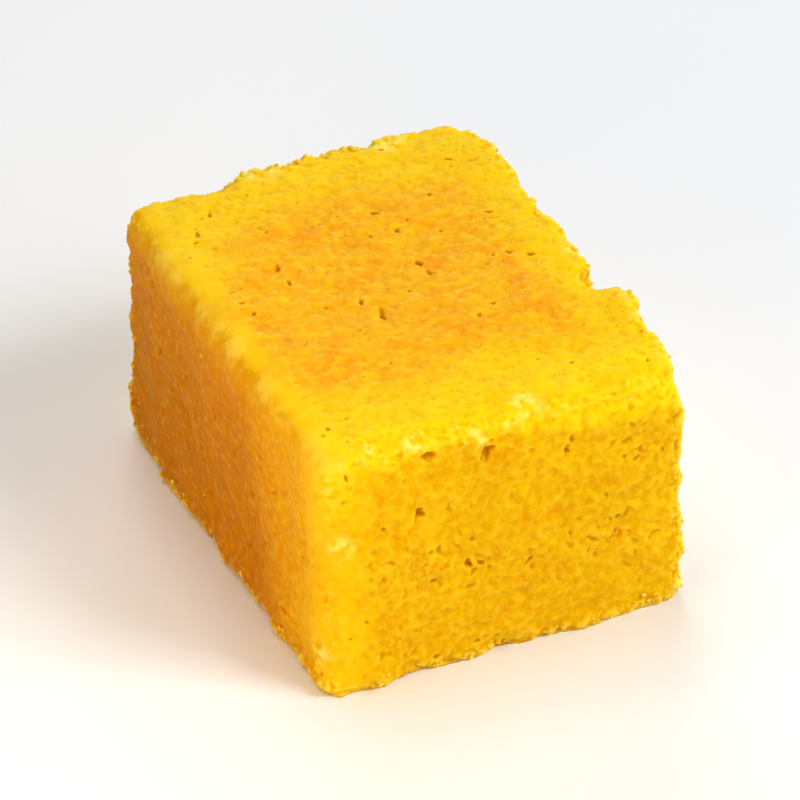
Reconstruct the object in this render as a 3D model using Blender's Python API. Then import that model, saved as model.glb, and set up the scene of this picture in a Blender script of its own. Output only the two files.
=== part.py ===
"""One piece of mysore pak: a cut block of set gram-flour fudge, crumbly along its edges.

The block is a single solid. It stands on its flat base, with the origin under its middle,
its front towards -Y, its back towards +Y and its top towards +Z. Sizes are in metres.
"""

import random
from typing import NamedTuple

import bmesh
import bpy
from mathutils import Euler, Vector, noise
from mathutils.bvhtree import BVHTree

MM = 0.001

# Driving sizes of the cut block
WIDTH = 35.4 * MM
LENGTH = 46.4 * MM
HEIGHT = 25.4 * MM

# Spacing of the lattice that carries the relief, and how far its points stray along the surface
FACET = 1.46 * MM
STRAY = 0.32 * MM

# Radius of the rubbed edges, before the places where they are worn more
EDGE_RADIUS = 1.1 * MM

# Relief of the faces: how far each kind moves them and how wide its bumps are
SWELL, SWELL_WIDTH = 0.5 * MM, 17 * MM
CRAG, CRAG_WIDTH = 0.4 * MM, 4.2 * MM
GRAIN, GRAIN_WIDTH = 0.45 * MM, 0.8 * MM
CRUMBLE, CRUMBLE_WIDTH, CRUMBLE_REACH = 0.85 * MM, 2.6 * MM, 2.4 * MM
TOP_CALM = 0.5

# Open pores by the direction of their face: how many, and their least and greatest radius
PORES = {
    (0, 0, 1): (13, 0.36 * MM, 0.62 * MM),
    (0, -1, 0): (8, 0.42 * MM, 0.75 * MM),
    (-1, 0, 0): (7, 0.42 * MM, 0.7 * MM),
    (1, 0, 0): (11, 0.5 * MM, 0.95 * MM),
    (0, 1, 0): (9, 0.5 * MM, 0.95 * MM),
}
PORE_STRETCH = (1.0, 1.9)
PORE_FROM_EDGE = 3.2 * MM
# Steps of the sequence that spreads the pores evenly over a face
SPREAD_STEPS = (0.8192, 0.6710, 0.5497)

# Granules that stand out of the edges
GRANULE_COUNT = 74
GRANULE_RADIUS = (0.5 * MM, 0.95 * MM)
GRANULE_SUNK = 0.35
FOOT_CLEARANCE = 0.25 * MM

# Broken walls are rougher than cut faces
ROUGHNESS, ROUGH_WIDTH = 0.3, 1.3 * MM

SEED = 11
NODE = "mysore_pak"

RIGHT, LEFT = WIDTH / 2, -WIDTH / 2
BACK, FRONT = LENGTH / 2, -LENGTH / 2
TOP = HEIGHT


class Wear(NamedTuple):
    """A rubbed stretch of edge: its middle, its reach along each axis and its added radius."""

    at: tuple
    reach: tuple
    radius: float


class Break(NamedTuple):
    """A place where crumb has fallen out: the middle and half sizes of a ragged ball, in mm."""

    at: tuple
    half: tuple


WEARS = (
    Wear((RIGHT, BACK, TOP), (7 * MM, 7 * MM, 30 * MM), 2.2 * MM),
    Wear((RIGHT, FRONT, TOP), (7 * MM, 7 * MM, 7 * MM), 1.8 * MM),
    Wear((0.0, FRONT, TOP), (11 * MM, 4 * MM, 4 * MM), 0.7 * MM),
    Wear((LEFT, BACK, TOP), (6 * MM, 6 * MM, 8 * MM), 0.9 * MM),
)

BREAKS = (
    # the notch in the right top edge, and the hollow stretch of edge behind it
    Break((RIGHT + 0.5 * MM, -6.4 * MM, TOP - 1.0 * MM), (3.1 * MM, 2.3 * MM, 6.0 * MM)),
    Break((RIGHT + 2.0 * MM, 7.6 * MM, TOP + 0.9 * MM), (3.0 * MM, 5.6 * MM, 4.4 * MM)),
    # the worn back right corner
    Break((RIGHT + 0.9 * MM, BACK + 0.9 * MM, TOP + 1.0 * MM), (4.8 * MM, 4.0 * MM, 3.2 * MM)),
    # bays in the back top edge
    Break((-9.2 * MM, BACK + 0.8 * MM, TOP + 0.1 * MM), (3.6 * MM, 3.0 * MM, 2.3 * MM)),
    Break((-1.0 * MM, BACK + 0.5 * MM, TOP + 0.6 * MM), (0.9 * MM, 1.9 * MM, 2.2 * MM)),
    Break((6.6 * MM, BACK + 0.6 * MM, TOP + 0.4 * MM), (1.5 * MM, 2.4 * MM, 2.3 * MM)),
    # the ragged ledge under the front top edge
    Break((-7.2 * MM, FRONT - 0.1 * MM, TOP - 2.5 * MM), (2.3 * MM, 0.8 * MM, 0.7 * MM)),
    Break((-2.0 * MM, FRONT - 0.1 * MM, TOP - 3.4 * MM), (2.0 * MM, 0.8 * MM, 0.8 * MM)),
    Break((6.4 * MM, FRONT - 0.1 * MM, TOP - 5.2 * MM), (2.2 * MM, 0.7 * MM, 0.7 * MM)),
    # undercuts at the foot
    Break((-0.4 * MM, FRONT - 0.2 * MM, 0.4 * MM), (2.0 * MM, 1.1 * MM, 0.8 * MM)),
    Break((-8.6 * MM, FRONT - 0.2 * MM, 0.2 * MM), (1.7 * MM, 1.0 * MM, 0.6 * MM)),
    Break((LEFT - 0.2 * MM, -9.5 * MM, 0.3 * MM), (1.0 * MM, 1.8 * MM, 0.7 * MM)),
    # deeper hollows in the cut faces at the right and the back
    Break((RIGHT + 0.1 * MM, 4.0 * MM, 14.4 * MM), (1.3 * MM, 2.2 * MM, 1.0 * MM)),
    Break((RIGHT + 0.1 * MM, -13.6 * MM, 9.0 * MM), (1.2 * MM, 1.9 * MM, 0.9 * MM)),
    Break((-6.8 * MM, BACK + 0.1 * MM, 15.4 * MM), (2.1 * MM, 1.2 * MM, 1.0 * MM)),
)


def clear_scene():
    """Removes whatever the scene holds."""
    for obj in list(bpy.data.objects):
        bpy.data.objects.remove(obj, do_unlink=True)


def waves(point, width, seed):
    """Noise from about -1 to 1 with bumps about as wide as width, in three sizes."""
    return noise.fractal(point / width + Vector((seed, 2 * seed, -seed)), 0.9, 2.1, 3)


def fade(distance, reach):
    """1 at no distance, falling smoothly to 0 at the reach."""
    share = max(0.0, 1.0 - distance / reach)
    return share * share * (3.0 - 2.0 * share)


def lattice_block():
    """The plain block, sliced along each axis into a lattice, with one flat face as its base."""
    bm = bmesh.new()
    bmesh.ops.create_cube(bm, size=1.0)
    bmesh.ops.scale(bm, vec=(WIDTH, LENGTH, HEIGHT), verts=bm.verts)
    bmesh.ops.translate(bm, vec=(0.0, 0.0, HEIGHT / 2), verts=bm.verts)
    lowest = (LEFT, FRONT, 0.0)
    for axis, side in enumerate((WIDTH, LENGTH, HEIGHT)):
        normal = Vector((0.0, 0.0, 0.0))
        normal[axis] = 1.0
        slices = round(side / FACET)
        for number in range(1, slices):
            place = normal * (lowest[axis] + side * number / slices)
            everything = bm.verts[:] + bm.edges[:] + bm.faces[:]
            bmesh.ops.bisect_plane(
                bm, geom=everything, dist=1e-8, plane_co=place, plane_no=normal
            )
    base = [face for face in bm.faces if face.normal.z < -0.5]
    bmesh.ops.dissolve_faces(bm, faces=base)
    return bm


def edge_distance(point):
    """How far a point of the plain block's surface is from the nearest edge of the block."""
    gaps = (RIGHT - abs(point.x), BACK - abs(point.y), min(point.z, TOP - point.z))
    return sorted(gaps)[1]


def wear_radius(point):
    """The radius that the edges near a point are rubbed to."""
    radius = EDGE_RADIUS
    for wear in WEARS:
        apart = point - Vector(wear.at)
        share = Vector([apart[axis] / wear.reach[axis] for axis in range(3)])
        radius += wear.radius * fade(share.length, 1.0)
    return radius


def rounded(point):
    """The place on the round-edged block of a point on the plain block."""
    radius = wear_radius(point)
    inner = Vector(
        (
            min(max(point.x, LEFT + radius), RIGHT - radius),
            min(max(point.y, FRONT + radius), BACK - radius),
            min(point.z, TOP - radius),
        )
    )
    outward = point - inner
    if outward.length < radius:
        return point.copy()
    return inner + outward.normalized() * radius


def relief(point, normal):
    """How far the surface stands out of the round-edged block at a point."""
    calm = 1.0 - (1.0 - TOP_CALM) * max(0.0, normal.z)
    height = SWELL * waves(point, SWELL_WIDTH, 3.1)
    height += CRAG * calm * waves(point, CRAG_WIDTH, 5.7)
    height += GRAIN * calm * waves(point, GRAIN_WIDTH, 2.9)
    near = fade(edge_distance(point), CRUMBLE_REACH)
    height += CRUMBLE * near * waves(point, CRUMBLE_WIDTH, 8.3)
    return height


def stray(point, normal):
    """A sideways move along the surface, so that the lattice's lines don't show."""
    away = noise.noise_vector(point / GRAIN_WIDTH) * STRAY
    return away - normal * away.dot(normal)


def add_relief(bm):
    """Rounds the lattice's edges and moves its points in and out, leaving the base flat."""
    plain = [vert.co.copy() for vert in bm.verts]
    for vert, point in zip(bm.verts, plain):
        vert.co = rounded(point)
    bm.normal_update()
    moves = []
    for vert, point in zip(bm.verts, plain):
        normal = vert.normal.copy()
        normal.z *= 1.0 - fade(point.z, 3 * MM)
        normal.normalize()
        moves.append(normal * relief(point, normal) + stray(point, normal))
    for vert, point, move in zip(bm.verts, plain, moves):
        on_base = point.z < FOOT_CLEARANCE
        vert.co += move
        vert.co.z = 0.0 if on_base else max(vert.co.z, FOOT_CLEARANCE)


def mesh_object(name, bm, collection):
    """Makes an object of a bmesh, which it frees, and links it to the collection."""
    mesh = bpy.data.meshes.new(name)
    bm.to_mesh(mesh)
    bm.free()
    obj = bpy.data.objects.new(name, mesh)
    collection.objects.link(obj)
    return obj


def new_collection(name):
    """A collection under the scene's own."""
    collection = bpy.data.collections.new(name)
    bpy.context.scene.collection.children.link(collection)
    return collection


def ragged_ball(middle, half, turn, subdivisions):
    """A closed ball, stretched to its half sizes and turned about Z, with a rough surface."""
    bm = bmesh.new()
    bmesh.ops.create_icosphere(bm, subdivisions=subdivisions, radius=1.0)
    spin = Euler((0.0, 0.0, turn)).to_matrix()
    for vert in bm.verts:
        stretched = Vector([vert.co[axis] * half[axis] for axis in range(3)])
        place = Vector(middle) + spin @ stretched
        rough = 1.0 + ROUGHNESS * waves(place, ROUGH_WIDTH, 4.4)
        vert.co = Vector(middle) + spin @ stretched * rough
    return bm


def add_cutter(name, bm, collection):
    """A hidden object that is cut out of the block."""
    cutter = mesh_object(name, bm, collection)
    cutter.hide_render = True
    cutter.display_type = "WIRE"


def make_breaks(collection):
    """The cutters of the notch, bays, ledge, undercuts and hollows."""
    for number, gap in enumerate(BREAKS):
        bm = ragged_ball(gap.at, gap.half, 0.0, 3 if number < 4 else 2)
        add_cutter(f"break_{number}", bm, collection)


def place_on_face(facing, number):
    """The place of a face's numbered pore, on the plain block."""
    place = Vector((0.0, 0.0, TOP / 2))
    for axis, side in enumerate((RIGHT, BACK, TOP / 2)):
        if facing[axis]:
            place[axis] += side * facing[axis]
        else:
            share = (0.5 + number * SPREAD_STEPS[axis]) % 1.0
            place[axis] += (2.0 * share - 1.0) * (side - PORE_FROM_EDGE)
    return place


def make_pores(collection, surface):
    """The cutters of the open pores, each lying along the face that it opens on."""
    draw = random.Random(SEED)
    for facing, (count, least, greatest) in PORES.items():
        for number in range(1, count + 1):
            spot = surface.find_nearest(place_on_face(facing, number))[0]
            radius = draw.uniform(least, greatest)
            half = [radius, radius * 0.8, radius * 0.7]
            half[1 if facing[0] else 0] *= draw.uniform(*PORE_STRETCH)
            turn = draw.uniform(0.0, 3.0) * facing[2]
            bm = ragged_ball(spot, half, turn, 1)
            add_cutter(f"pore_{number}", bm, collection)


def edge_lines():
    """The lines that granules stand on: round the top, up the corners and round the foot."""
    corners = [(LEFT, FRONT), (RIGHT, FRONT), (RIGHT, BACK), (LEFT, BACK)]
    lines = []
    for here, there in zip(corners, corners[1:] + corners[:1]):
        lines.append((Vector((*here, TOP)), Vector((*there, TOP))))
        lines.append((Vector((*here, 0.0)), Vector((*here, TOP))))
        lines.append((Vector((*here, MM)), Vector((*there, MM))))
    return lines


def make_granules(collection, surface):
    """Granules seated along the edges, each sunk in the surface that is nearest to it."""
    draw = random.Random(SEED + 1)
    lines = edge_lines()
    lengths = [(end - start).length for start, end in lines]
    for number in range(GRANULE_COUNT):
        start, end = draw.choices(lines, lengths)[0]
        radius = draw.uniform(*GRANULE_RADIUS)
        aside = Vector([draw.uniform(-MM, MM) for _ in range(3)])
        target = start.lerp(end, draw.random()) + aside
        spot, normal, _, _ = surface.find_nearest(target)
        middle = spot - normal * radius * GRANULE_SUNK
        half = [radius * draw.uniform(0.8, 1.2) for _ in range(3)]
        middle.z = max(middle.z, max(half) * 1.2 + FOOT_CLEARANCE)
        bm = ragged_ball(middle, half, draw.uniform(0.0, 3.0), 1)
        mesh_object(f"granule_{number}", bm, collection)


def apply_boolean(obj, operation, collection):
    """Cuts or joins a collection's objects, applies the result and removes them."""
    boolean = obj.modifiers.new(operation.lower(), "BOOLEAN")
    boolean.operation = operation
    boolean.operand_type = "COLLECTION"
    boolean.collection = collection
    boolean.solver = "EXACT"
    bpy.context.view_layer.update()
    graph = bpy.context.evaluated_depsgraph_get()
    made = bpy.data.meshes.new_from_object(obj.evaluated_get(graph))
    obj.modifiers.clear()
    obj.data = made
    for used in list(collection.objects):
        bpy.data.objects.remove(used, do_unlink=True)
    bpy.data.collections.remove(collection)


def centre_on_origin(obj):
    """Moves the mesh so that the origin is under the middle of its box."""
    points = [vert.co for vert in obj.data.vertices]
    middle = [(min(p[i] for p in points) + max(p[i] for p in points)) / 2 for i in (0, 1)]
    for vert in obj.data.vertices:
        vert.co.x -= middle[0]
        vert.co.y -= middle[1]


def fudge_material():
    """Set gram flour and ghee: golden yellow, dull with a slight gloss."""
    material = bpy.data.materials.new("fudge")
    material.use_nodes = True
    shader = material.node_tree.nodes["Principled BSDF"]
    shader.inputs["Base Color"].default_value = (0.95, 0.52, 0.02, 1.0)
    shader.inputs["Roughness"].default_value = 0.6
    shader.inputs["Metallic"].default_value = 0.0
    return material


def make_block():
    """The whole piece, as one closed solid."""
    noise.seed_set(SEED)
    bm = lattice_block()
    add_relief(bm)
    surface = BVHTree.FromBMesh(bm)
    block = mesh_object(NODE, bm, bpy.context.scene.collection)
    granules = new_collection("granules")
    make_granules(granules, surface)
    apply_boolean(block, "UNION", granules)
    gaps = new_collection("gaps")
    make_breaks(gaps)
    make_pores(gaps, surface)
    apply_boolean(block, "DIFFERENCE", gaps)
    centre_on_origin(block)
    block.data.name = NODE
    block.data.materials.clear()
    block.data.materials.append(fudge_material())
    block.data.shade_smooth()
    block.data.set_sharp_from_angle(angle=0.9)
    return block


clear_scene()
make_block()
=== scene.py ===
"""Looks of one piece of mysore pak: a cut block of set gram-flour fudge on a pale floor.

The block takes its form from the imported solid. Its facets are smoothed away, granules are
fused on where it is worn, and fine relief, pores and slits are pressed into the faces.
Shapes are sculpted in millimetres and scaled to metres when they are finished.

Every share runs from 0 to 1, and every colour is linear.
"""

import logging
import math
import random
from dataclasses import dataclass
from enum import Enum

import bmesh
import bpy
import numpy as np
from mathutils import Euler, Matrix, Vector, noise
from mathutils.bvhtree import BVHTree
from mathutils.kdtree import KDTree


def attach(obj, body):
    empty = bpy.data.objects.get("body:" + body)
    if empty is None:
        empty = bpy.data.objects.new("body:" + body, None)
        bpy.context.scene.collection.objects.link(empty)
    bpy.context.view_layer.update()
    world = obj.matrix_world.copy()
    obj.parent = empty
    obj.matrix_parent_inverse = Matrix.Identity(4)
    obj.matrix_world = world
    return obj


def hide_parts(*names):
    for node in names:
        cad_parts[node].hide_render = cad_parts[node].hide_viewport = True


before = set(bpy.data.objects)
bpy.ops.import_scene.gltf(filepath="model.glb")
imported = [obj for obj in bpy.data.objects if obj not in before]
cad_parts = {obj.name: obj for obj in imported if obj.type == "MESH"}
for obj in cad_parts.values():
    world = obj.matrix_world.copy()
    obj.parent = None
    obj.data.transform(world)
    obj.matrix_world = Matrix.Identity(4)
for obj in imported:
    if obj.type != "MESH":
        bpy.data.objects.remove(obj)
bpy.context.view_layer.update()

MM = 0.001
NODE = "mysore_pak"
BODY = "root"
WHITE = (1.0, 1.0, 1.0, 1.0)
# Moves a noise pattern away from another of the same width
SHIFT = Vector((31.7, 12.3, 47.9))
# So many millimetres from the middle, a point lies well outside the block
OUTSIDE = 60

log = logging.getLogger("mysore_pak")

Colour = tuple[float, float, float]
Range = tuple[float, float]


class Side(Enum):
    """A face of the block, by its outward direction."""

    TOP = (0, 0, 1)
    FRONT = (0, -1, 0)
    BACK = (0, 1, 0)
    LEFT = (-1, 0, 0)
    RIGHT = (1, 0, 0)

    def across(self) -> Vector:
        """The direction that runs to the right along the face, seen from outside."""
        upright = Vector((0, 0, 1))
        return Vector((1, 0, 0)) if self is Side.TOP else upright.cross(Vector(self.value))

    def up(self) -> Vector:
        """The direction that runs up the face."""
        return Vector((0, 1, 0)) if self is Side.TOP else Vector((0, 0, 1))


def smoothstep(low: float, high: float, value: float) -> float:
    """A smooth rise from 0 at low to 1 at high.

    Args:
        low: Where the rise starts.
        high: Where it ends, which may be below low for a fall.
        value: Where it is read.

    Returns:
        The height of the rise, from 0 to 1.
    """
    t = min(1.0, max(0.0, (value - low) / (high - low)))
    return t * t * (3 - 2 * t)


def rise(values: np.ndarray, start: float, width: float) -> np.ndarray:
    """Shares that rise evenly.

    Args:
        values: Where they are read.
        start: The value at which they leave 0.
        width: How much further on they reach 1.

    Returns:
        One share for each value.
    """
    return np.clip((values - start) / width, 0.0, 1.0)


def between(span: Range, share: float) -> float:
    """The value a share of the way along a span."""
    return span[0] + (span[1] - span[0]) * share


def drawn(weights: np.ndarray, count: int, rng: random.Random) -> list[int]:
    """Draws places at random, in keeping with their weights.

    Args:
        weights: One weight for each place.
        count: How many places are drawn.
        rng: The source of random draws.

    Returns:
        The numbers of the drawn places.
    """
    steps = np.cumsum(weights)
    return np.searchsorted(steps, [rng.random() * steps[-1] for _ in range(count)]).tolist()


def mesh_of(shape: bmesh.types.BMesh, name: str) -> bpy.types.Mesh:
    """Makes a mesh of a shape and frees the shape.

    Args:
        shape: The shape.
        name: The mesh's name.

    Returns:
        The mesh.
    """
    mesh = bpy.data.meshes.new(name)
    shape.to_mesh(mesh)
    shape.free()
    return mesh


def gathered(meshes: list[bpy.types.Mesh], name: str) -> bpy.types.Mesh:
    """Puts meshes together in one.

    Args:
        meshes: The meshes, which are removed.
        name: The new mesh's name.

    Returns:
        One mesh with all their faces.
    """
    whole = bmesh.new()
    for mesh in meshes:
        whole.from_mesh(mesh)
        bpy.data.meshes.remove(mesh)
    return mesh_of(whole, name)


def triangle_count(mesh: bpy.types.Mesh) -> int:
    """How many triangles the mesh's faces come to."""
    return sum(len(face.vertices) - 2 for face in mesh.polygons)


def finished(mesh: bpy.types.Mesh, *modifiers: tuple[str, dict]) -> bpy.types.Mesh:
    """Applies modifiers to a mesh.

    Args:
        mesh: The mesh to change, which is removed.
        modifiers: The kind of each modifier with its settings, in order.

    Returns:
        A new mesh with the modifiers applied.
    """
    obj = bpy.data.objects.new("work", mesh)
    bpy.context.scene.collection.objects.link(obj)
    for kind, settings in modifiers:
        modifier = obj.modifiers.new(kind.lower(), kind)
        for name, value in settings.items():
            setattr(modifier, name, value)
    graph = bpy.context.evaluated_depsgraph_get()
    made = bpy.data.meshes.new_from_object(obj.evaluated_get(graph))
    bpy.data.objects.remove(obj)
    bpy.data.meshes.remove(mesh)
    return made


def read(items: bpy.types.bpy_prop_collection, field: str, width: int) -> np.ndarray:
    """Reads one field of every item.

    Args:
        items: The mesh's vertices, normals or attribute values.
        field: The field's name.
        width: How many numbers it has.

    Returns:
        One row for each item.
    """
    flat = np.empty(len(items) * width, np.float32)
    items.foreach_get(field, flat)
    return flat.reshape(-1, width).astype(float)


def points_of(mesh: bpy.types.Mesh) -> np.ndarray:
    """The mesh's vertices as rows of x, y and z."""
    return read(mesh.vertices, "co", 3)


def normals_of(mesh: bpy.types.Mesh) -> np.ndarray:
    """The mesh's vertex normals as rows of x, y and z."""
    return read(mesh.vertex_normals, "vector", 3)


def move_points(mesh: bpy.types.Mesh, points: np.ndarray) -> None:
    """Puts the mesh's vertices at new points.

    Args:
        mesh: The mesh to change.
        points: One row of x, y and z for each vertex.
    """
    mesh.vertices.foreach_set("co", points.astype(np.float32).ravel())
    mesh.update()


def store(mesh: bpy.types.Mesh, name: str, values: np.ndarray) -> None:
    """Keeps one number for each vertex as a named attribute.

    Args:
        mesh: The mesh that gets the attribute.
        name: The attribute's name.
        values: One number for each vertex.
    """
    attribute = mesh.attributes.get(name) or mesh.attributes.new(name, "FLOAT", "POINT")
    attribute.data.foreach_set("value", values.astype(np.float32))


def stored(mesh: bpy.types.Mesh, name: str) -> np.ndarray:
    """The numbers of a named attribute, one for each vertex."""
    return read(mesh.attributes[name].data, "value", 1)[:, 0]


def neighbour_mean(mesh: bpy.types.Mesh, values: np.ndarray, times: int) -> np.ndarray:
    """Averages values over each vertex's neighbours.

    Args:
        mesh: The mesh whose edges join the neighbours.
        values: One row for each vertex.
        times: How many times the average is taken.

    Returns:
        The averaged rows.
    """
    pairs = np.empty(len(mesh.edges) * 2, np.int32)
    mesh.edges.foreach_get("vertices", pairs)
    a, b = pairs.reshape(-1, 2).T
    count = len(mesh.vertices)
    degree = np.maximum(np.bincount(a, minlength=count) + np.bincount(b, minlength=count), 1)
    made = values.copy()
    for _ in range(times):
        sums = [np.bincount(a, c[b], count) + np.bincount(b, c[a], count) for c in made.T]
        made = (np.array(sums) / degree).T
    return made


def add_piece(name: str, mesh: bpy.types.Mesh, material: bpy.types.Material) -> bpy.types.Object:
    """Makes a finished mesh a piece of the object.

    Args:
        name: The piece's name.
        mesh: Its mesh, in millimetres.
        material: Its finish.

    Returns:
        The piece, in metres, riding on the body.
    """
    mesh.transform(Matrix.Scale(MM, 4))
    mesh.materials.clear()
    mesh.materials.append(material)
    mesh.polygons.foreach_set("use_smooth", [True] * len(mesh.polygons))
    mesh.name = name
    obj = bpy.data.objects.new(name, mesh)
    bpy.context.scene.collection.objects.link(obj)
    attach(obj, BODY)
    log.info("%s: %d triangles", name, triangle_count(mesh))
    return obj


@dataclass(frozen=True)
class Grain:
    """Rough grains of one range of radius, made as closed lumps."""

    least: float
    greatest: float
    subdivisions: int = 2
    squash: float = 0.35
    raggedness: float = 0.3
    thinnest: float = 0.3
    shapes: int = 14
    batch: int = 100

    def place(self, seat: Vector, outward: Vector, sunk: float, rng: random.Random) -> Matrix:
        """Turns, squashes and sinks one grain.

        Args:
            seat: The point of the surface that it sits on.
            outward: The surface's direction there.
            sunk: How far its middle lies below the surface, from -1 to 1 radius.
            rng: The source of random draws.

        Returns:
            The matrix that puts a lump of radius 1 there.
        """
        radius = between((self.least, self.greatest), rng.random() ** 2)
        turn = Euler([rng.uniform(0, math.tau) for _ in range(3)]).to_matrix().to_4x4()
        stretch = [radius * (1 + rng.uniform(-self.squash, self.squash)) for _ in range(3)]
        spot = Matrix.Translation(seat - outward * radius * sunk)
        return spot @ turn @ Matrix.Diagonal((*stretch, 1.0))

    def lump(self, number: int) -> bpy.types.Mesh:
        """Makes one ragged lump of radius 1.

        Args:
            number: Which of the shapes it is.

        Returns:
            Its closed mesh.
        """
        shape = bmesh.new()
        bmesh.ops.create_icosphere(shape, subdivisions=self.subdivisions, radius=1.0)
        drift = Vector((number * 3.7, number * 1.3, 0.5))
        for vertex in shape.verts:
            broad = noise.noise(vertex.co * 1.1 + drift)
            swell = broad + 0.6 * noise.noise(vertex.co * 2.9 + drift)
            vertex.co *= max(self.thinnest, 1 + self.raggedness * 1.6 * swell)
        return mesh_of(shape, "lump")

    def mesh(self, places: list[Matrix]) -> bpy.types.Mesh:
        """Makes a grain at every place.

        Args:
            places: The matrix of each grain.

        Returns:
            One mesh of separate closed grains.
        """
        lumps = [self.lump(number) for number in range(self.shapes)]
        parts = []
        for start in range(0, len(places), self.batch):
            few = bmesh.new()
            for number, place in enumerate(places[start : start + self.batch]):
                lump = lumps[number % self.shapes]
                lump.transform(place)
                few.from_mesh(lump)
                lump.transform(place.inverted())
            parts.append(mesh_of(few, "grains"))
        for lump in lumps:
            bpy.data.meshes.remove(lump)
        return gathered(parts, "grains")


@dataclass(frozen=True)
class Pit:
    """An open pore or slit in a face: its place on the face, and its size, in millimetres."""

    side: Side
    across: float
    up: float
    radius: float
    depth: float
    stretch: float = 1.0
    turn: float = 0.0


# Pores and slits that can be told apart on the three faces in view. Each row has a place
# across and up the face, a radius, a depth, a stretch and a turn.
MARKS = {
    Side.TOP: (
        (3.1, 2.5, 0.42, 0.55, 1.3, 1.9),
        (3.5, 0.7, 0.36, 0.5, 1.6, 2.2),
        (3.6, 8.2, 0.4, 0.45, 1.3, 1.6),
        (2.9, 11.6, 0.42, 0.4, 1.8, 0.3),
        (-8.7, 7.1, 0.36, 0.45, 2.0, 1.3),
        (-8.7, 4.5, 0.3, 0.4, 1.7, 1.4),
        (-14.0, 2.9, 0.26, 0.35, 1.2, 0.2),
        (-13.6, 1.2, 0.3, 0.4, 1.2, 0.9),
        (-13.8, 14.1, 0.34, 0.35, 1.3, 0.1),
        (-4.1, -0.9, 0.34, 0.45, 2.4, 1.2),
        (-3.1, -3.3, 0.36, 0.5, 3.4, 1.3),
        (11.2, 0.5, 0.3, 0.4, 1.5, 2.4),
        (12.8, -0.7, 0.28, 0.4, 1.6, 2.5),
        (4.3, -7.8, 0.3, 0.35, 1.4, 0.6),
    ),
    Side.FRONT: (
        (-8.6, 17.9, 0.55, 0.5, 1.4, 0.9),
        (-1.8, 22.1, 0.6, 0.6, 1.8, 1.1),
        (-7.4, 23.3, 0.45, 0.4, 2.0, 0.0),
        (-3.9, 11.0, 0.42, 0.5, 1.5, 2.2),
        (-2.7, 10.8, 0.36, 0.45, 1.6, 2.3),
        (-7.3, 10.1, 0.34, 0.45, 1.2, 0.4),
        (10.7, 11.4, 0.36, 0.45, 1.3, 0.8),
        (12.5, 17.3, 0.3, 0.3, 1.6, 0.3),
        (5.9, 20.0, 0.34, 0.3, 1.8, 1.5),
        (1.9, 9.5, 0.3, 0.35, 2.4, 0.5),
    ),
    Side.LEFT: (
        (6.5, 11.9, 0.5, 0.45, 1.4, 1.2),
        (9.3, 8.4, 0.42, 0.4, 1.6, 1.0),
        (-4.6, 8.4, 0.45, 0.45, 1.3, 1.4),
    ),
}

# Pores that are sown at random: how many on each face, and their range of radius
SOWN = {
    Side.TOP: (64, (0.13, 0.3)),
    Side.FRONT: (16, (0.2, 0.45)),
    Side.LEFT: (22, (0.2, 0.5)),
    Side.RIGHT: (40, (0.25, 0.9)),
    Side.BACK: (30, (0.25, 0.8)),
}


@dataclass(frozen=True)
class Cluster:
    """A few pale flakes that stand together: their middle, their spread and their number."""

    middle: tuple[float, float, float]
    spread: float
    count: int

    def nearness(self, points: np.ndarray) -> np.ndarray:
        """How near each point is to the middle, from 0 to 1."""
        return np.exp(-(((points - self.middle) ** 2).sum(1) / self.spread**2))


CLUSTERS = (
    Cluster((-8.5, -22.0, 25.0), 1.1, 10),
    Cluster((-12.5, -21.4, 25.2), 0.7, 3),
    Cluster((-3.0, -22.9, 24.0), 1.2, 12),
    Cluster((0.6, -22.4, 24.6), 0.8, 4),
    Cluster((-16.2, -22.9, 16.0), 1.4, 5),
    Cluster((-17.0, -22.6, 24.2), 0.5, 2),
    Cluster((-17.9, -20.9, 4.2), 1.3, 7),
    Cluster((-17.9, -17.5, 1.3), 0.6, 6),
    Cluster((-17.9, -21.2, 0.9), 0.5, 3),
    Cluster((-17.7, -23.3, 1.0), 0.6, 4),
    Cluster((2.5, -21.5, 25.2), 1.4, 5),
    Cluster((17.2, -22.6, 1.4), 1.0, 6),
    Cluster((9.0, 22.6, 24.6), 2.4, 14),
    Cluster((-4.0, 23.0, 24.6), 2.4, 10),
    Cluster((17.3, -1.0, 24.6), 1.6, 9),
)


@dataclass(frozen=True)
class BrownPatch:
    """The browned patch of the top: how far it reaches from the middle, in millimetres."""

    left: float = 17.4
    right: float = 15.6
    front: float = 15.5
    back: float = 17.5
    slant: float = 0.28
    side_fade: Range = (0.0, 5.0)
    end_fade: Range = (-1.0, 6.5)
    depth: float = 0.78
    clouding: float = 0.3

    def share(self, x: float, y: float) -> float:
        """How browned the top is at a place.

        Args:
            x: How far the place is to the right.
            y: How far it is to the back.

        Returns:
            The share, or just past 1 in a dark cloud.
        """
        spot = Vector((x, y, 0.0))
        sway = 2.2 * noise.noise(spot / 9) + 1.0 * noise.noise(spot / 2.6)
        side_gap = min(x + self.left - self.slant * max(0.0, y - 2), self.right - x) + sway
        end_gap = min(y + self.front, self.back - y) + sway
        inside = smoothstep(*self.side_fade, side_gap) * smoothstep(*self.end_fade, end_gap)
        return inside * (self.depth + self.clouding * noise.noise(spot / 4.3 + Vector((3, 9, 1))))


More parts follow.
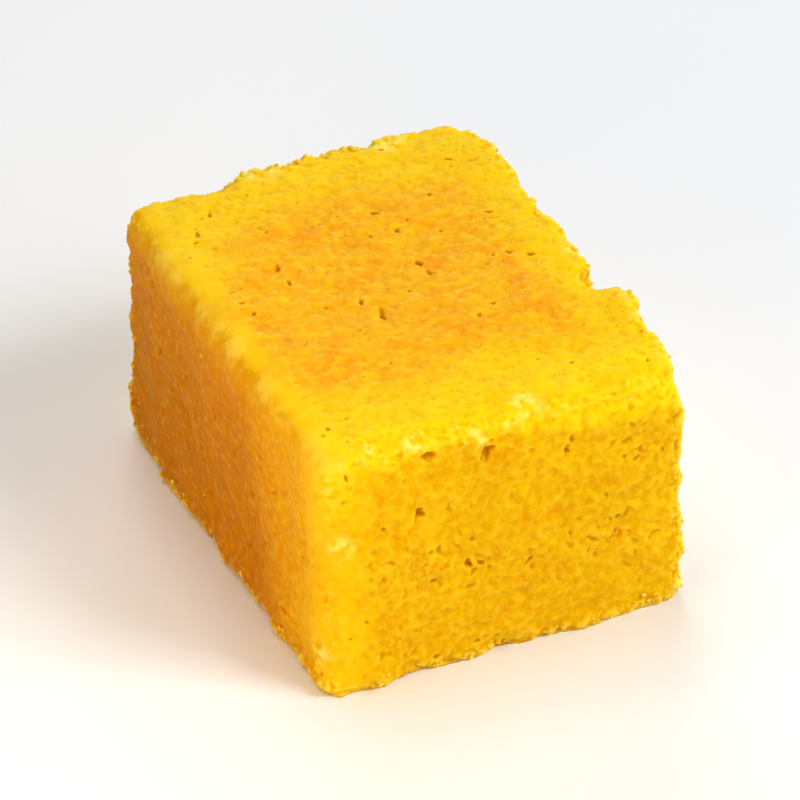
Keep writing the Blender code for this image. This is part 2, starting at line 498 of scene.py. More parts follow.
@dataclass
class Block:
    """The block of fudge, with sizes in millimetres.

    The ranges from lump to crag give a relief's height and the width of its forms.
    """

    half_width: float = 17.7
    half_length: float = 23.2
    height: float = 25.4
    core_voxel: float = 0.3
    core_smoothing: int = 26
    rubbing: int = 90
    rubbed_above: float = 6.0
    edge_hold: float = 0.35
    foot: float = 1.4
    tuck: float = 0.38
    tuck_height: float = 0.9
    tuck_width: float = 1.5
    grounded: float = 0.12
    ledge_drop: float = 2.4
    voxel: float = 0.17
    edge_grain: Grain = Grain(0.11, 0.36, squash=0.5, raggedness=0.38)
    face_grain: Grain = Grain(0.12, 0.3, subdivisions=1)
    flake: Grain = Grain(0.25, 0.65, squash=0.5, raggedness=0.55)
    edge_count: int = 2700
    face_count: int = 4200
    lump: Range = (0.16, 2.1)
    knob: Range = (0.17, 0.95)
    crack: Range = (0.05, 1.5)
    void: Range = (0.18, 0.8)
    granule: Range = (0.18, 0.8)
    fleck: Range = (0.05, 0.34)
    crag: Range = (0.34, 1.1)
    fullness: float = 0.42
    top_calm: float = 0.55
    patch_width: float = 6.5
    pore_margin: float = 2.0
    pore_reach: float = 1.0
    hollow: float = 0.045
    tip_highlight_width: float = 1.1
    brown_patch: BrownPatch = BrownPatch()
    torn: tuple[tuple[tuple[float, float, float], float], ...] = (
        ((17.0, -6.4, 23.0), 4.6),
        ((16.6, 7.6, 24.6), 4.0),
        ((17.0, 22.4, 24.6), 3.6),
        ((-9.2, 22.0, 24.4), 3.4),
        ((-1.0, 22.6, 25.0), 1.6),
        ((6.6, 22.4, 24.8), 2.2),
    )
    most_triangles: int = 192000
    seed: int = 5

    def core(self) -> bpy.types.Mesh:
        """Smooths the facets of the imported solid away.

        Returns:
            The smooth form, in millimetres.
        """
        shape = bmesh.new()
        shape.from_mesh(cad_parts[NODE].data)
        bmesh.ops.remove_doubles(shape, verts=shape.verts, dist=1e-7)
        bmesh.ops.scale(shape, vec=Vector((1 / MM,) * 3), verts=shape.verts)
        remesh = ("REMESH", {"mode": "VOXEL", "voxel_size": self.core_voxel})
        mesh = finished(mesh_of(shape, "core"), remesh)
        points = points_of(mesh)
        rounded = [self.rounded(point) for point in points]
        flat = rise(self.edge_gaps(points), start=0.8, width=2.5)
        share = rise(points[:, 2], start=0.0, width=self.foot)
        share *= np.maximum(self.edge_hold + (1 - self.edge_hold) * flat, rounded)
        for _ in range(self.core_smoothing):
            points += (neighbour_mean(mesh, points, 1) - points) * share[:, None]
        share = rise(points[:, 2], start=0.0, width=self.rubbed_above) * rounded
        for _ in range(self.rubbing):
            points += (neighbour_mean(mesh, points, 1) - points) * share[:, None]
        move_points(mesh, points)
        return mesh

    def edge_gaps(self, points: np.ndarray) -> np.ndarray:
        """How far each point is from the block's nearest edge.

        Args:
            points: Rows of x, y and z on the surface.

        Returns:
            One distance for each point.
        """
        gaps = np.stack(
            [
                self.half_width - abs(points[:, 0]),
                self.half_length - abs(points[:, 1]),
                np.minimum(points[:, 2], self.height - points[:, 2]),
            ]
        )
        return np.sort(gaps, axis=0)[1]

    def crumbling(self, point: Vector) -> float:
        """How crumbly the paste is at a point of the surface.

        The back edge and the foot crumble most, and the near upright edge is rubbed smooth.

        Args:
            point: A point of the surface.

        Returns:
            The share.
        """
        patch = smoothstep(-0.2, 0.35, noise.noise(point / self.patch_width))
        back = smoothstep(self.half_length - 4, self.half_length - 1, point.y)
        foot = self.frayed_foot(point)
        right = 0.6 * smoothstep(self.half_width - 3, self.half_width - 1, point.x)
        right *= 0.45 + 0.55 * smoothstep(-12.0, -7.0, point.y)
        ledge = math.hypot(point.y + self.half_length, point.z - self.height + self.ledge_drop)
        lip = smoothstep(1.5, 0.4, ledge) * smoothstep(-10.0, -8.0, point.x)
        crumbly = max(patch, 0.8 * back, foot, right, lip, self.tearing(point))
        return crumbly * (1 - 0.96 * self.rubbed(point) * (1 - foot))

    def frayed_foot(self, point: Vector) -> float:
        """How frayed the foot is near a point, in patches."""
        patch = smoothstep(-0.15, 0.3, noise.noise(Vector((*point.xy, 0.0)) / 2.6 + SHIFT))
        return smoothstep(2.2, 0.8, point.z) * (0.12 + 0.88 * patch)

    def tearing(self, point: Vector) -> float:
        """How near a point is to a place where the paste has broken away."""
        gaps = [((point - Vector(at)).length, reach) for at, reach in self.torn]
        return max(smoothstep(reach, 0.55 * reach, gap) for gap, reach in gaps)

    def rounded(self, point: Vector) -> float:
        """How much an edge is rounded near a point.

        Besides the rubbed edges, the top leans over the front face.

        Args:
            point: A point of the surface.

        Returns:
            The share.
        """
        x, y, z = point
        front_top = smoothstep(4.2, 2.0, math.hypot(y + self.half_length, z - self.height))
        left_top = smoothstep(-12.0, -15.0, x) * smoothstep(self.height - 4, self.height - 1, z)
        leaning = 0.6 * front_top * smoothstep(16.5, 13.0, x)
        return max(self.rubbed(point) * (1 - 0.5 * left_top), leaning)

    def rubbed(self, point: Vector) -> float:
        """How smooth an edge is rubbed near a point."""
        return max(self.worn_edges(point))

    def worn_edges(self, point: Vector) -> tuple[float, float]:
        """How near a point is to the edges that have lost their crumbs.

        Args:
            point: A point of the surface.

        Returns:
            The share for the near upright edge, and the share for the left top edge.
        """
        x, y, z = point
        upright = smoothstep(6.0, 3.0, math.hypot(x + self.half_width, y + self.half_length))
        left_top = smoothstep(3.6, 1.6, math.hypot(x + self.half_width, z - self.height))
        return upright, left_top * (0.5 + 0.5 * smoothstep(22.0, 18.0, y))

    def sow(
        self, core: bpy.types.Mesh, count: int, worn: bool, rng: random.Random
    ) -> list[tuple[Vector, Vector]]:
        """Picks points of the surface for grains.

        Args:
            core: The smooth form.
            count: How many points are picked.
            worn: True for points on the edges and breaks, where the surface turns, and False
                for points on the flat faces.
            rng: The source of random draws.

        Returns:
            Each point with the surface's direction there.
        """
        areas = np.array([face.area for face in core.polygons])
        directions = [face.normal.copy() for face in core.polygons]
        middles = [face.center.copy() for face in core.polygons]
        axis = np.array([max(abs(part) for part in out) for out in directions])
        turning = np.clip((0.985 - axis) / 0.12, 0.0, 1.0)
        if worn:
            weight = areas * turning
            gaps = self.edge_gaps(np.array(middles))
            torn = np.array([self.tearing(spot) for spot in middles])
            weight *= 0.06 + np.maximum(np.exp(-((gaps / 1.9) ** 2)), 0.8 * torn)
            calm = [1 - self.worn_edges(spot)[1] for spot in middles]
            weight *= [(0.03 + self.crumbling(spot)) * free for spot, free in zip(middles, calm)]
        else:
            weight = areas * (1 - 0.8 * turning)
            weight *= [1 - 0.9 * self.rubbed(spot) for spot in middles]
        on_base = [out.z < -0.5 and spot.z < 0.4 for out, spot in zip(directions, middles)]
        weight[np.array(on_base)] = 0
        return [(middles[i], directions[i]) for i in drawn(weight, count, rng)]

    def crumbly(self, core: bpy.types.Mesh) -> bpy.types.Mesh:
        """Fuses granules and flakes onto the smooth form.

        Args:
            core: The smooth form, which is removed.

        Returns:
            One closed mesh.
        """
        rng = random.Random(self.seed)
        meshes = [core]
        for grain, count, worn, sunk in (
            (self.edge_grain, self.edge_count, True, (0.25, 0.95)),
            (self.face_grain, self.face_count, False, (0.6, 0.95)),
        ):
            seats = self.sow(core, count, worn, rng)
            places = [grain.place(seat, out, rng.uniform(*sunk), rng) for seat, out in seats]
            meshes.append(grain.mesh(places))
        middles = np.array([face.center for face in core.polygons])
        places = []
        for cluster in CLUSTERS:
            for i in drawn(cluster.nearness(middles), cluster.count, rng):
                seat, out = Vector(middles[i]), core.polygons[i].normal
                places.append(self.flake.place(seat, out, rng.uniform(0.3, 0.9), rng))
        meshes.append(self.flake.mesh(places))
        return finished(
            gathered(meshes, "crumbly"),
            ("REMESH", {"mode": "VOXEL", "voxel_size": self.voxel}),
            ("SMOOTH", {"factor": 0.5, "iterations": 2}),
        )

    def press_relief(self, mesh: bpy.types.Mesh) -> None:
        """Moves the surface by its relief, and marks its voids and how rough it is.

        Args:
            mesh: The mesh to change.
        """
        points, normals = points_of(mesh), normals_of(mesh)
        places = zip(points, self.edge_gaps(points), normals[:, 2])
        relief = np.array([self.relief(Vector(point), gap, up) for point, gap, up in places])
        moves = relief[:, 0] * rise(points[:, 2], start=0.0, width=0.3)
        points += normals * moves[:, None]
        move_points(mesh, points)
        store(mesh, "pit", relief[:, 1])
        store(mesh, "rough", relief[:, 2])

    def relief(self, point: Vector, gap: float, up: float) -> tuple[float, float, float]:
        """The swells, lumps, granules, voids and cracks at a point of the surface.

        A cut face is flat between its voids, so only the worn edges are raised much.

        Args:
            point: The point.
            gap: How far it is from the block's nearest edge.
            up: How far the surface faces up there, from -1 to 1.

        Returns:
            How far the point moves outward, how much of a void it is, and how rough it is.
        """
        broken = 0.6 * self.tearing(point) * smoothstep(0.9, 0.6, up)
        worn = max(smoothstep(2.6, 0.5, gap) * self.crumbling(point), broken)
        calm = 1 - self.top_calm * smoothstep(0.6, 0.95, up)
        upright, left_top = self.worn_edges(point)
        rough = 1 - max(0.55 * upright, 0.84 * left_top)
        loose = smoothstep(-0.3, 0.3, noise.noise(point / self.patch_width + SHIFT))
        open_paste = (0.25 + 0.75 * loose) * calm
        warped = point + noise.noise_vector(point * 1.3) * 0.35
        first, second = noise.voronoi(warped / self.crack[1])[0][:2]
        crack = smoothstep(0.16, 0.0, second - first) * open_paste
        closing = 0.14 * (1 - open_paste)
        void = smoothstep(0.16, 0.66, noise.noise(warped / self.void[1]) - closing)
        void *= 0.4 + 0.6 * open_paste - 0.45 * (1 - calm)
        near = noise.voronoi(point / self.granule[1] + SHIFT)[0][0]
        knobs = noise.noise(point / self.knob[1] + SHIFT) * rough * (0.1 + 0.9 * calm)
        move = (
            self.lump[0] * noise.noise(point / self.lump[1]) * (0.4 + 0.6 * rough)
            + self.knob[0] * knobs
            - self.crack[0] * crack * rough
            - self.void[0] * void * rough
            + self.granule[0] * (0.42 - near) * (0.35 * calm + worn) * rough
            + self.fleck[0] * noise.noise(point / self.fleck[1]) * rough
            + self.crag[0] * noise.fractal(point / self.crag[1], 0.8, 2.1, 3) * worn
            + self.bulge(point)
        )
        # Marks voids and cracks for the painted shade inside them.
        hollow = 0.65 * max(void, 0.6 * crack) * rough
        return move, hollow, 1 - max(0.4 * upright, 0.7 * left_top)

    def bulge(self, point: Vector) -> float:
        """How far the front part of the right top edge bulges at a point.

        Args:
            point: A point of the surface.

        Returns:
            The distance.
        """
        x, y, z = point
        near = smoothstep(3.4, 0.8, math.hypot(x - self.half_width, z - self.height + 0.4))
        return self.fullness * near * smoothstep(-7.0, -10.0, y) * smoothstep(-23.0, -20.0, y)

    def pits(self) -> list[Pit]:
        """Lists the pores that can be told apart, and those that are sown at random.

        Returns:
            All the pores and slits.
        """
        rng = random.Random(self.seed + 1)
        made = [Pit(side, *row) for side, rows in MARKS.items() for row in rows]
        for side, (count, radii) in SOWN.items():
            half = self.half_length if side in (Side.LEFT, Side.RIGHT) else self.half_width
            half -= self.pore_margin
            low, high = 1.6, self.height - 1.8
            if side is Side.TOP:
                high = self.half_length - self.pore_margin
                low = -high
            for _ in range(count):
                radius = between(radii, rng.random() ** 2.5)
                across, up = rng.uniform(-half, half), rng.uniform(low, high)
                depth = radius * rng.uniform(0.35, 1.1)
                stretch, turn = rng.uniform(1.0, 2.2), rng.uniform(0, math.pi)
                made.append(Pit(side, across, up, radius, depth, stretch, turn))
        return made

    def press_pits(self, mesh: bpy.types.Mesh) -> None:
        """Presses the pores and slits into the surface and marks where they are.

        Args:
            mesh: The mesh to change.
        """
        points = points_of(mesh)
        tree = KDTree(len(points))
        for i, point in enumerate(points):
            tree.insert(point, i)
        tree.balance()
        surface = BVHTree.FromPolygons(points.tolist(), [tuple(f.vertices) for f in mesh.polygons])
        inside = stored(mesh, "pit")
        for pit in self.pits():
            out, across, up = Vector(pit.side.value), pit.side.across(), pit.side.up()
            start = out * OUTSIDE + across * pit.across + up * pit.up
            seat = surface.ray_cast(start, -out)[0]
            if seat is None:
                continue
            along = across * math.cos(pit.turn) + up * math.sin(pit.turn)
            aside = out.cross(along)
            reach = pit.radius * pit.stretch * 1.4
            for co, i, _ in tree.find_range(seat, reach):
                away = co - seat
                if abs(away.dot(out)) > self.pore_reach:
                    continue
                u = away.dot(along) / (pit.radius * pit.stretch)
                v = away.dot(aside) / pit.radius
                q = math.hypot(u, v) + 0.6 * noise.noise(co * 2.7)
                if q < 1:
                    fall = (1 - max(q, 0.0) ** 2) ** 1.1
                    points[i] -= np.array(out) * pit.depth * 0.85 * fall
                    # Marks the pit for the painted shade inside it.
                    inside[i] = max(inside[i], fall)
        move_points(mesh, points)
        store(mesh, "pit", inside)

    def browning(self, points: np.ndarray, normals: np.ndarray) -> np.ndarray:
        """How browned each point is, which is most in the middle of the top.

        Args:
            points: Rows of x, y and z.
            normals: The surface's directions there.

        Returns:
            One share for each point.
        """
        shares = np.zeros(len(points))
        for i in np.flatnonzero((normals[:, 2] > 0.2) & (points[:, 2] > self.height - 2.5)):
            shares[i] = self.brown_patch.share(points[i, 0], points[i, 1])
        return np.clip(shares, 0, 1)

    def painted_shade_shares(self, points: np.ndarray, normals: np.ndarray) -> np.ndarray:
        """How much painted shade each point gets: most far along the left face, some at the foot.

        Args:
            points: Rows of x, y and z.
            normals: The surface's directions there.

        Returns:
            One share for each point.
        """
        _, y, z = points.T
        away = rise(y + self.half_length, start=1.0, width=17.0) ** 0.8
        low = 1.2 - 0.42 * z / self.height
        facing = rise(-normals[:, 0], start=0.35, width=0.55)
        below = rise(self.height - z, start=0.0, width=3.6)
        # Painted shade on the left face: deeper towards the back and the bottom, less just under
        # the top edge.
        left = away * low * facing * (0.4 + 0.6 * below)
        # Painted shade along the foot, where the contact shadow falls.
        foot = 0.75 * (1 - rise(z, start=0.0, width=1.1))
        return np.clip(np.maximum(left, foot), 0, 1)

    def painted_highlight_shares(self, points: np.ndarray, normals: np.ndarray) -> np.ndarray:
        """How much painted highlight each point gets: most along the top's margins, the front band
        and the near edge.

        Args:
            points: Rows of x, y and z.
            normals: The surface's directions there.

        Returns:
            One share for each point.
        """
        x, y, z = points.T
        below = rise(self.height - 0.4 - z, start=0.0, width=2.4)
        steepest = np.where(normals[:, 0] < -0.2, 0.6, 0.3)
        upward = rise(normals[:, 2], steepest, width=0.35)
        front = rise(-y - self.half_length, start=-7.5, width=4.5)
        # Painted highlight where the surface turns up near the top, stronger towards the front.
        top = (1 - below) * upward * (0.72 + 0.28 * front)
        sway = np.array([noise.noise(Vector((a, 0.0, c)) / 2.2) for a, c in zip(x, z)])
        right = rise(x, start=0.0, width=4.0)
        ledge = self.height - 2.3 - 0.06 * (x + self.half_width) * right
        # Painted highlight on the band under the front top edge.
        lip = rise(z + 0.9 * sway, ledge, width=1.0) * (y < 2 - self.half_length)
        corner = np.hypot(x + self.half_width, y + self.half_length)
        facing = np.clip(0.75 - normals[:, 1], 0, 1)
        # Painted highlight on the near upright edge.
        near = 0.85 * np.exp(-((corner / 4.2) ** 2)) * facing
        return np.maximum(np.maximum(top, 0.95 * lip), near)

    def mark(self, mesh: bpy.types.Mesh) -> None:
        """Stores what the finish reads besides voids and roughness.

        These are how browned each point is, its painted shade on the left face and the foot, how
        pale with flakes it is, its painted highlight, the painted shade in its crevices and the
        painted highlight on its tips.

        Args:
            mesh: The finished mesh.
        """
        points, normals = points_of(mesh), normals_of(mesh)
        depth = ((neighbour_mean(mesh, points, times=2) - points) * normals).sum(1)
        normals = neighbour_mean(mesh, normals, times=16)
        normals /= np.maximum(np.linalg.norm(normals, axis=1), 1e-6)[:, None]
        store(mesh, "browned", self.browning(points, normals))
        store(mesh, "painted_shade", self.painted_shade_shares(points, normals))
        store(mesh, "pale", np.max([cluster.nearness(points) for cluster in CLUSTERS], axis=0))
        # Painted shade in crevices, from how far each point lies below its neighbours.
        store(mesh, "crevice_shade", rise(depth, 0.0, self.hollow))
        # Painted highlight on the tips of the relief, strongest near the edges.
        edge = np.exp(-((self.edge_gaps(points) / self.tip_highlight_width) ** 2))
        store(mesh, "tip_highlight", rise(-depth, 0.0, self.hollow) * (0.35 + 0.65 * edge))
        store(mesh, "lemon_and_highlight", self.painted_highlight_shares(points, normals))

    def settle(self, mesh: bpy.types.Mesh) -> None:
        """Flattens the base onto the floor and draws its rim in under the faces.

        Args:
            mesh: The mesh to change.
        """
        points = points_of(mesh)
        low = np.clip(1 - points[:, 2] / self.tuck_height, 0, 1)
        for axis, half in enumerate((self.half_width, self.half_length)):
            rim = np.clip(1 - (half - abs(points[:, axis])) / self.tuck_width, 0, 1.3)
            points[:, axis] -= np.sign(points[:, axis]) * self.tuck * low * rim
        points[:, 2] = np.where(points[:, 2] < self.grounded, 0.0, points[:, 2])
        move_points(mesh, points)

    def build(self, material: bpy.types.Material) -> bpy.types.Object:
        """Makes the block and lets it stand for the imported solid.

        Args:
            material: The fudge's finish.

        Returns:
            The block.
        """
        noise.seed_set(self.seed)
        mesh = self.crumbly(self.core())
        self.press_relief(mesh)
        self.press_pits(mesh)
        self.settle(mesh)
        ratio = min(1.0, self.most_triangles / triangle_count(mesh))
        mesh = finished(mesh, ("TRIANGULATE", {}), ("DECIMATE", {"ratio": ratio}))
        self.mark(mesh)
        block = add_piece("fudge_block", mesh, material)
        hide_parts(NODE)
        return block


@dataclass
class Crumbs:
    """Loose crumbs that cling to the edges and the foot, with sizes in millimetres."""

    grain: Grain = Grain(0.1, 0.3, subdivisions=1, squash=0.4, raggedness=0.3)
    count: int = 700
    stray: float = 0.0012
    foot_share: float = 2.1
    sunk: Range = (-0.2, 0.7)
    seed: int = 23

    def build(
        self, block: bpy.types.Object, form: Block, material: bpy.types.Material
    ) -> bpy.types.Object:
        """Makes the crumbs.

        Args:
            block: The finished block that they cling to.
            form: The block's form.
            material: The crumbs' finish.

        Returns:
            The crumbs, as one piece.
        """
        rng = random.Random(self.seed)
        mesh = block.data
        middles = np.array([face.center for face in mesh.polygons]) / MM
        outward = np.array([face.normal for face in mesh.polygons])
        areas = np.array([face.area for face in mesh.polygons])
        spots = [Vector(middle) for middle in middles]
        edge = np.exp(-((form.edge_gaps(middles) / 1.2) ** 2))
        edge *= [form.crumbling(spot) for spot in spots]
        foot = np.exp(-((middles[:, 2] / 1.3) ** 2)) * [form.frayed_foot(spot) for spot in spots]
        weight = areas * (self.stray + edge + self.foot_share * foot)
        weight *= [1 - form.worn_edges(spot)[1] for spot in spots]
        weight[(outward[:, 2] < -0.6) | (middles[:, 2] < 0.25)] = 0
        places = [
            self.grain.place(spots[i], Vector(outward[i]), rng.uniform(*self.sunk), rng)
            for i in drawn(weight, self.count, rng)
        ]
        made = self.grain.mesh(places)
        points = points_of(made)
        points[:, 2] = np.maximum(points[:, 2], 0.01)
        move_points(made, points)
        return add_piece("clinging_crumbs", made, material)


@dataclass(frozen=True)
class Pattern:
    """A noise pattern: its patches' width in millimetres, its finer detail and its levels."""

    width: float
    detail: float
    roughness: float
    source: Range
    target: Range


class Nodes:
    """A material's node tree, built by short calls."""

    def __init__(self, name: str) -> None:
        """Starts a material with its shader.

        Args:
            name: The material's name.
        """
        self.material = bpy.data.materials.new(name)
        self.material.use_nodes = True
        self.tree = self.material.node_tree
        self.shader = self.tree.nodes["Principled BSDF"]
        self.place = self.add("ShaderNodeTexCoord").outputs["Object"]

    def add(self, kind: str, **settings: object) -> bpy.types.Node:
        """Adds a node.

        Args:
            kind: The node's type.
            settings: Its properties.

        Returns:
            The node.
        """
        node = self.tree.nodes.new(kind)
        for name, value in settings.items():
            setattr(node, name, value)
        return node

    def join(self, source: bpy.types.NodeSocket, target: bpy.types.NodeSocket) -> None:
        """Links one socket to another."""
        self.tree.links.new(source, target)

    def attribute(self, name: str) -> bpy.types.NodeSocket:
        """Reads a point attribute of the mesh."""
        return self.add("ShaderNodeAttribute", attribute_name=name).outputs["Fac"]

    def noise(
        self, width: float, detail: float = 2.0, roughness: float = 0.5
    ) -> bpy.types.NodeSocket:
        """Adds plain noise.

        Args:
            width: About how wide its patches are, in millimetres.
            detail: How many finer octaves it has.
            roughness: How strong they are.

        Returns:
            The noise's value.
        """
        node = self.add("ShaderNodeTexNoise")
        node.inputs["Scale"].default_value = 1 / (width * MM)
        node.inputs["Detail"].default_value = detail
        node.inputs["Roughness"].default_value = roughness
        self.join(self.place, node.inputs["Vector"])
        return node.outputs["Fac"]

    def pattern(self, pattern: Pattern) -> bpy.types.NodeSocket:
        """Adds a noise pattern.

        Args:
            pattern: The pattern.

        Returns:
            Its value.
        """
        plain = self.noise(pattern.width, pattern.detail, pattern.roughness)
        return self.ramp(plain, pattern.source, pattern.target)

    def ramp(
        self, value: bpy.types.NodeSocket, source: Range, target: Range
    ) -> bpy.types.NodeSocket:
        """Stretches a value smoothly from one range to another.

        Args:
            value: What is stretched.
            source: The range that it is read over.
            target: The range that it gets.

        Returns:
            The stretched value.
        """
        node = self.add("ShaderNodeMapRange", interpolation_type="SMOOTHSTEP")
        for name, number in zip(("From Min", "From Max", "To Min", "To Max"), (*source, *target)):
            node.inputs[name].default_value = number
        self.join(value, node.inputs["Value"])
        return node.outputs["Result"]

    def times(self, a: bpy.types.NodeSocket, b: bpy.types.NodeSocket) -> bpy.types.NodeSocket:
        """Multiplies two values.

        Args:
            a: One value.
            b: The other.

        Returns:
            Their product.
        """
        node = self.add("ShaderNodeMath", operation="MULTIPLY")
        self.join(a, node.inputs[0])
        self.join(b, node.inputs[1])
        return node.outputs[0]

    def tinted(
        self,
        base: bpy.types.NodeSocket | Colour,
        share: bpy.types.NodeSocket,
        colour: Colour,
    ) -> bpy.types.NodeSocket:
        """Mixes a colour over another.

        Args:
            base: The colour below.
            share: How much of the new colour shows.
            colour: The new colour.

        Returns:
            The mixed colour.
        """
        node = self.add("ShaderNodeMix", data_type="RGBA")
        below, above = [socket for socket in node.inputs if socket.type == "RGBA"]
        if isinstance(base, tuple):
            below.default_value = (*base, 1.0)
        else:
            self.join(base, below)
        above.default_value = (*colour, 1.0)
        self.join(share, node.inputs["Factor"])
        return next(socket for socket in node.outputs if socket.type == "RGBA")

    def emboss(self, height: bpy.types.NodeSocket, strength: float, depth: float) -> None:
        """Gives the shader a bump.

        Args:
            height: The bump's pattern.
            strength: How strong it is.
            depth: How high it is, in millimetres.
        """
        bump = self.add("ShaderNodeBump")
        bump.inputs["Strength"].default_value = strength
        bump.inputs["Distance"].default_value = depth * MM
        self.join(height, bump.inputs["Height"])
        self.join(bump.outputs["Normal"], self.shader.inputs["Normal"])

    def soften(self, weight: float, depth: float) -> None:
        """Gives the shader the soft, buttery gloss of fudge.

        Args:
            weight: The share of light that goes through the surface.
            depth: How far it spreads, in millimetres.
        """
        shader = self.shader
        shader.inputs["Subsurface Weight"].default_value = weight
        shader.inputs["Subsurface Radius"].default_value = (0.72, 0.8, 0.2)
        shader.inputs["Subsurface Scale"].default_value = depth * MM
        shader.inputs["Specular IOR Level"].default_value = 0.045
        shader.inputs["Specular Tint"].default_value = (1.0, 0.8, 0.2, 1.0)


@dataclass(frozen=True)
class FudgeFinish:
    """The fudge's colours with its painted highlight and painted shade, and the patterns that lay
    them over one another.
    """

    golden: Colour = (0.79, 0.45, 0.001)
    # Lemon tone of the fudge, also the colour of the painted highlight.
    lemon_and_highlight: Colour = (0.93, 0.59, 0.002)
    # The brightest painted highlight.
    highlight_yellow: Colour = (0.95, 0.665, 0.003)
    browned: Colour = (0.89, 0.345, 0.004)
    # Deep gold for freckles, also the colour of painted shade on the left face, at the foot and in
    # crevices.
    deep_gold_and_shade: Colour = (0.73, 0.24, 0.001)
    # Painted shade, low and far back on the left face.
    shaded: Colour = (0.5, 0.165, 0.001)
    soaked: Colour = (0.73, 0.29, 0.001)
    # Painted shade inside pores, slits and cracks.
    pore_shade: Colour = (0.5, 0.14, 0.001)
    # Colour of the painted highlight on the tips of the relief.
    pale: Colour = (0.96, 0.67, 0.06)
    cream: Colour = (1.0, 0.8, 0.14)
    clouds: Pattern = Pattern(5.0, 3.0, 0.5, (0.4, 0.75), (0.0, 0.45))
    sheen: Pattern = Pattern(2.0, 3.0, 0.5, (0.3, 0.55), (0.35, 1.0))
    mottle: Pattern = Pattern(1.6, 4.0, 0.6, (0.36, 0.6), (0.6, 1.0))
    freckles: Pattern = Pattern(1.1, 3.0, 0.65, (0.54, 0.74), (0.0, 0.3))
    flecks: Pattern = Pattern(0.8, 2.0, 0.6, (0.5, 0.3), (0.0, 0.55))
    streaks: Pattern = Pattern(1.7, 3.0, 0.6, (0.36, 0.62), (0.66, 1.0))
    ghee: Pattern = Pattern(2.4, 3.5, 0.62, (0.48, 0.68), (0.0, 0.4))
    flakes: Pattern = Pattern(1.1, 2.0, 0.5, (0.42, 0.6), (0.0, 0.9))
    gloss: Pattern = Pattern(0.8, 4.0, 0.6, (0.3, 0.7), (0.44, 0.66))

    def material(self) -> bpy.types.Material:
        """Builds the material.

        Returns:
            The material.
        """
        n = Nodes("fudge")
        lemon_and_highlight, painted_shade = n.attribute("lemon_and_highlight"), n.attribute("painted_shade")
        # Painted highlight where it is strongest, broken up by the sheen pattern.
        highlight_share = n.times(n.ramp(lemon_and_highlight, (0.66, 0.95), (0.0, 1.0)), n.pattern(self.sheen))
        # Share kept out of the painted highlight.
        outside_highlight = n.ramp(lemon_and_highlight, (0.2, 0.9), (1.0, 0.45))
        flaky = n.ramp(n.attribute("pale"), (0.1, 0.7), (0.0, 1.0))
        colour = self.golden
        for share, tint in (
            (n.pattern(self.clouds), self.lemon_and_highlight),
            # Painted highlight on the top's margins, the front band and the near edge, brightest
            # where strongest.
            (n.ramp(lemon_and_highlight, (0.0, 0.72), (0.0, 1.0)), self.lemon_and_highlight),
            (highlight_share, self.highlight_yellow),
            (n.times(n.attribute("browned"), n.pattern(self.mottle)), self.browned),
            (n.pattern(self.freckles), self.deep_gold_and_shade),
            (n.pattern(self.flecks), self.lemon_and_highlight),
            # Painted shade on the left face and the foot, in streaks, darkest low and far back.
            (n.times(painted_shade, n.pattern(self.streaks)), self.deep_gold_and_shade),
            (n.ramp(painted_shade, (0.5, 1.2), (0.0, 0.85)), self.shaded),
            # Darker ghee-soaked patches, kept out of the painted highlight.
            (n.times(n.pattern(self.ghee), outside_highlight), self.soaked),
            # Painted shade in crevices.
            (n.ramp(n.attribute("crevice_shade"), (0.05, 0.9), (0.0, 0.3)), self.deep_gold_and_shade),
            # Painted highlight on the tips of the relief.
            (n.ramp(n.attribute("tip_highlight"), (0.1, 0.9), (0.0, 0.85)), self.pale),
            (n.times(flaky, n.pattern(self.flakes)), self.cream),
            # Painted shade inside pores, slits and cracks.
            (n.ramp(n.attribute("pit"), (0.2, 0.95), (0.0, 0.75)), self.pore_shade),
        ):
            colour = n.tinted(colour, share, tint)
        n.join(colour, n.shader.inputs["Base Color"])
        n.join(n.pattern(self.gloss), n.shader.inputs["Roughness"])
        grit = n.times(n.noise(0.3, 3.0, 0.65), n.attribute("rough"))
        n.emboss(grit, strength=0.7, depth=0.1)
        n.soften(weight=0.7, depth=1.1)
        return n.material


@dataclass(frozen=True)
class CrumbFinish:
    """The loose crumbs' colours and gloss."""

    golden: Colour = (0.97, 0.56, 0.01)
    pale: Colour = (1.0, 0.76, 0.12)
    clouds: Pattern = Pattern(0.9, 2.0, 0.5, (0.42, 0.66), (0.0, 1.0))
    gloss: Pattern = Pattern(0.4, 2.0, 0.5, (0.3, 0.7), (0.45, 0.65))

    def material(self) -> bpy.types.Material:
        """Builds the material.

        Returns:
            The material.
        """
        n = Nodes("crumb")
        colour = n.tinted(self.golden, n.pattern(self.clouds), self.pale)
        n.join(colour, n.shader.inputs["Base Color"])
        n.join(n.pattern(self.gloss), n.shader.inputs["Roughness"])
        n.emboss(n.noise(0.12), strength=0.4, depth=0.06)
        n.soften(weight=0.25, depth=0.5)
        return n.material


@dataclass(frozen=True)
class Softbox:
    """A square studio light, with its place and size in metres."""

    name: str
    place: tuple[float, float, float]
    size: float
    power: float
    colour: Colour = (1.0, 1.0, 1.0)

    def build(self, target: Vector) -> None:
        """Makes the light and points it at the target.

        Args:
            target: The point that it faces.
        """
        lamp = bpy.data.lights.new(self.name, "AREA")
        lamp.size = self.size
        lamp.energy = self.power
        lamp.color = self.colour
        obj = bpy.data.objects.new(self.name, lamp)
        obj.location = self.place
        obj.rotation_euler = (target - Vector(self.place)).to_track_quat("-Z", "Y").to_euler()
        obj.visible_camera = False
        bpy.context.scene.collection.objects.link(obj)


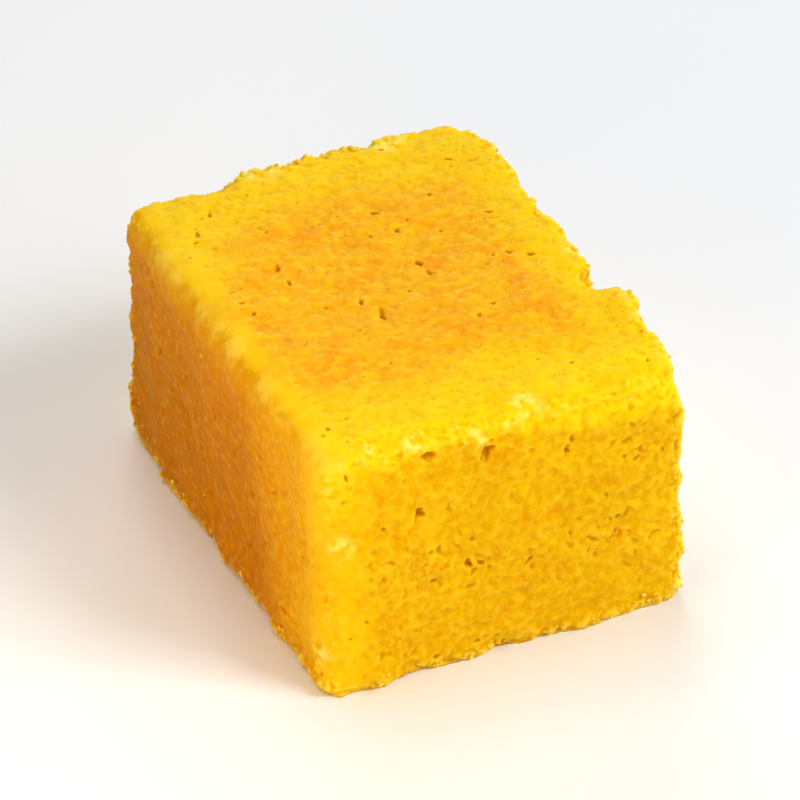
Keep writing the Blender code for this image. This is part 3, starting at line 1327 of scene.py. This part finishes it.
@dataclass
class Studio:
    """The pale floor, the soft lights and the camera, with sizes in metres.

    The camera's place is given from its target, its roll in degrees and its lens in millimetres.
    """

    target: tuple[float, float, float] = (0.0, 0.0, 0.0127)
    camera: tuple[float, float, float] = (-0.1719, -0.386, 0.2989)
    roll: float = 0.92
    lens: float = 256.0
    floor_size: float = 3.0
    floor_colour: Colour = (0.865, 0.885, 0.91)
    sky: float = 0.1
    lights: tuple[Softbox, ...] = (
        Softbox("key_light", (0.7, -0.7, 0.85), 0.5, 10.2),
        Softbox("top_light", (-0.06, 0.3, 1.1), 0.7, 4.9),
        Softbox("front_light", (0.3, -1.1, 0.4), 0.7, 1.15, (1.0, 0.97, 0.92)),
        Softbox("warm_light", (-0.95, 0.1, 0.14), 0.4, 0.72, (1.0, 0.25, 0.03)),
        Softbox("near_light", (-0.088, -0.058, 0.055), 0.05, 0.05, (1.0, 0.72, 0.33)),
        Softbox("side_light", (0.1, -0.1, 0.06), 0.05, 0.03),
        Softbox("back_light", (0.3, 1.0, 0.45), 0.6, 4.3),
    )

    def floor(self) -> None:
        """Makes the floor, which isn't part of the object."""
        shape = bmesh.new()
        bmesh.ops.create_grid(shape, x_segments=1, y_segments=1, size=self.floor_size / 2)
        mesh = mesh_of(shape, "floor")
        material = bpy.data.materials.new("floor")
        material.use_nodes = True
        shader = material.node_tree.nodes["Principled BSDF"]
        shader.inputs["Base Color"].default_value = (*self.floor_colour, 1.0)
        shader.inputs["Roughness"].default_value = 0.8
        shader.inputs["Specular IOR Level"].default_value = 0.1
        mesh.materials.append(material)
        obj = bpy.data.objects.new("floor", mesh)
        bpy.context.scene.collection.objects.link(obj)

    def world(self) -> None:
        """Lights the scene evenly from all round."""
        world = bpy.data.worlds.new("studio")
        world.use_nodes = True
        background = world.node_tree.nodes["Background"]
        background.inputs["Color"].default_value = WHITE
        background.inputs["Strength"].default_value = self.sky
        bpy.context.scene.world = world

    def shoot(self) -> None:
        """Sets the camera at the photograph's viewing angle."""
        data = bpy.data.cameras.new("camera")
        data.lens = self.lens
        data.clip_start, data.clip_end = 0.01, 20.0
        obj = bpy.data.objects.new("camera", data)
        target = Vector(self.target)
        place = target + Vector(self.camera)
        turn = (target - place).to_track_quat("-Z", "Y").to_matrix().to_4x4()
        roll = Matrix.Rotation(math.radians(-self.roll), 4, "Z")
        obj.matrix_world = Matrix.Translation(place) @ turn @ roll
        bpy.context.scene.collection.objects.link(obj)
        bpy.context.scene.camera = obj

    def build(self) -> None:
        """Makes the whole studio."""
        self.floor()
        self.world()
        for light in self.lights:
            light.build(Vector(self.target))
        self.shoot()
        bpy.context.scene.view_settings.view_transform = "Standard"


def main() -> None:
    """Builds the block, its crumbs and the studio."""
    logging.basicConfig(level=logging.INFO, format="%(name)s: %(message)s")
    block = Block()
    body = block.build(FudgeFinish().material())
    Crumbs().build(body, block, CrumbFinish().material())
    Studio().build()


if __name__ == "__main__":
    main()
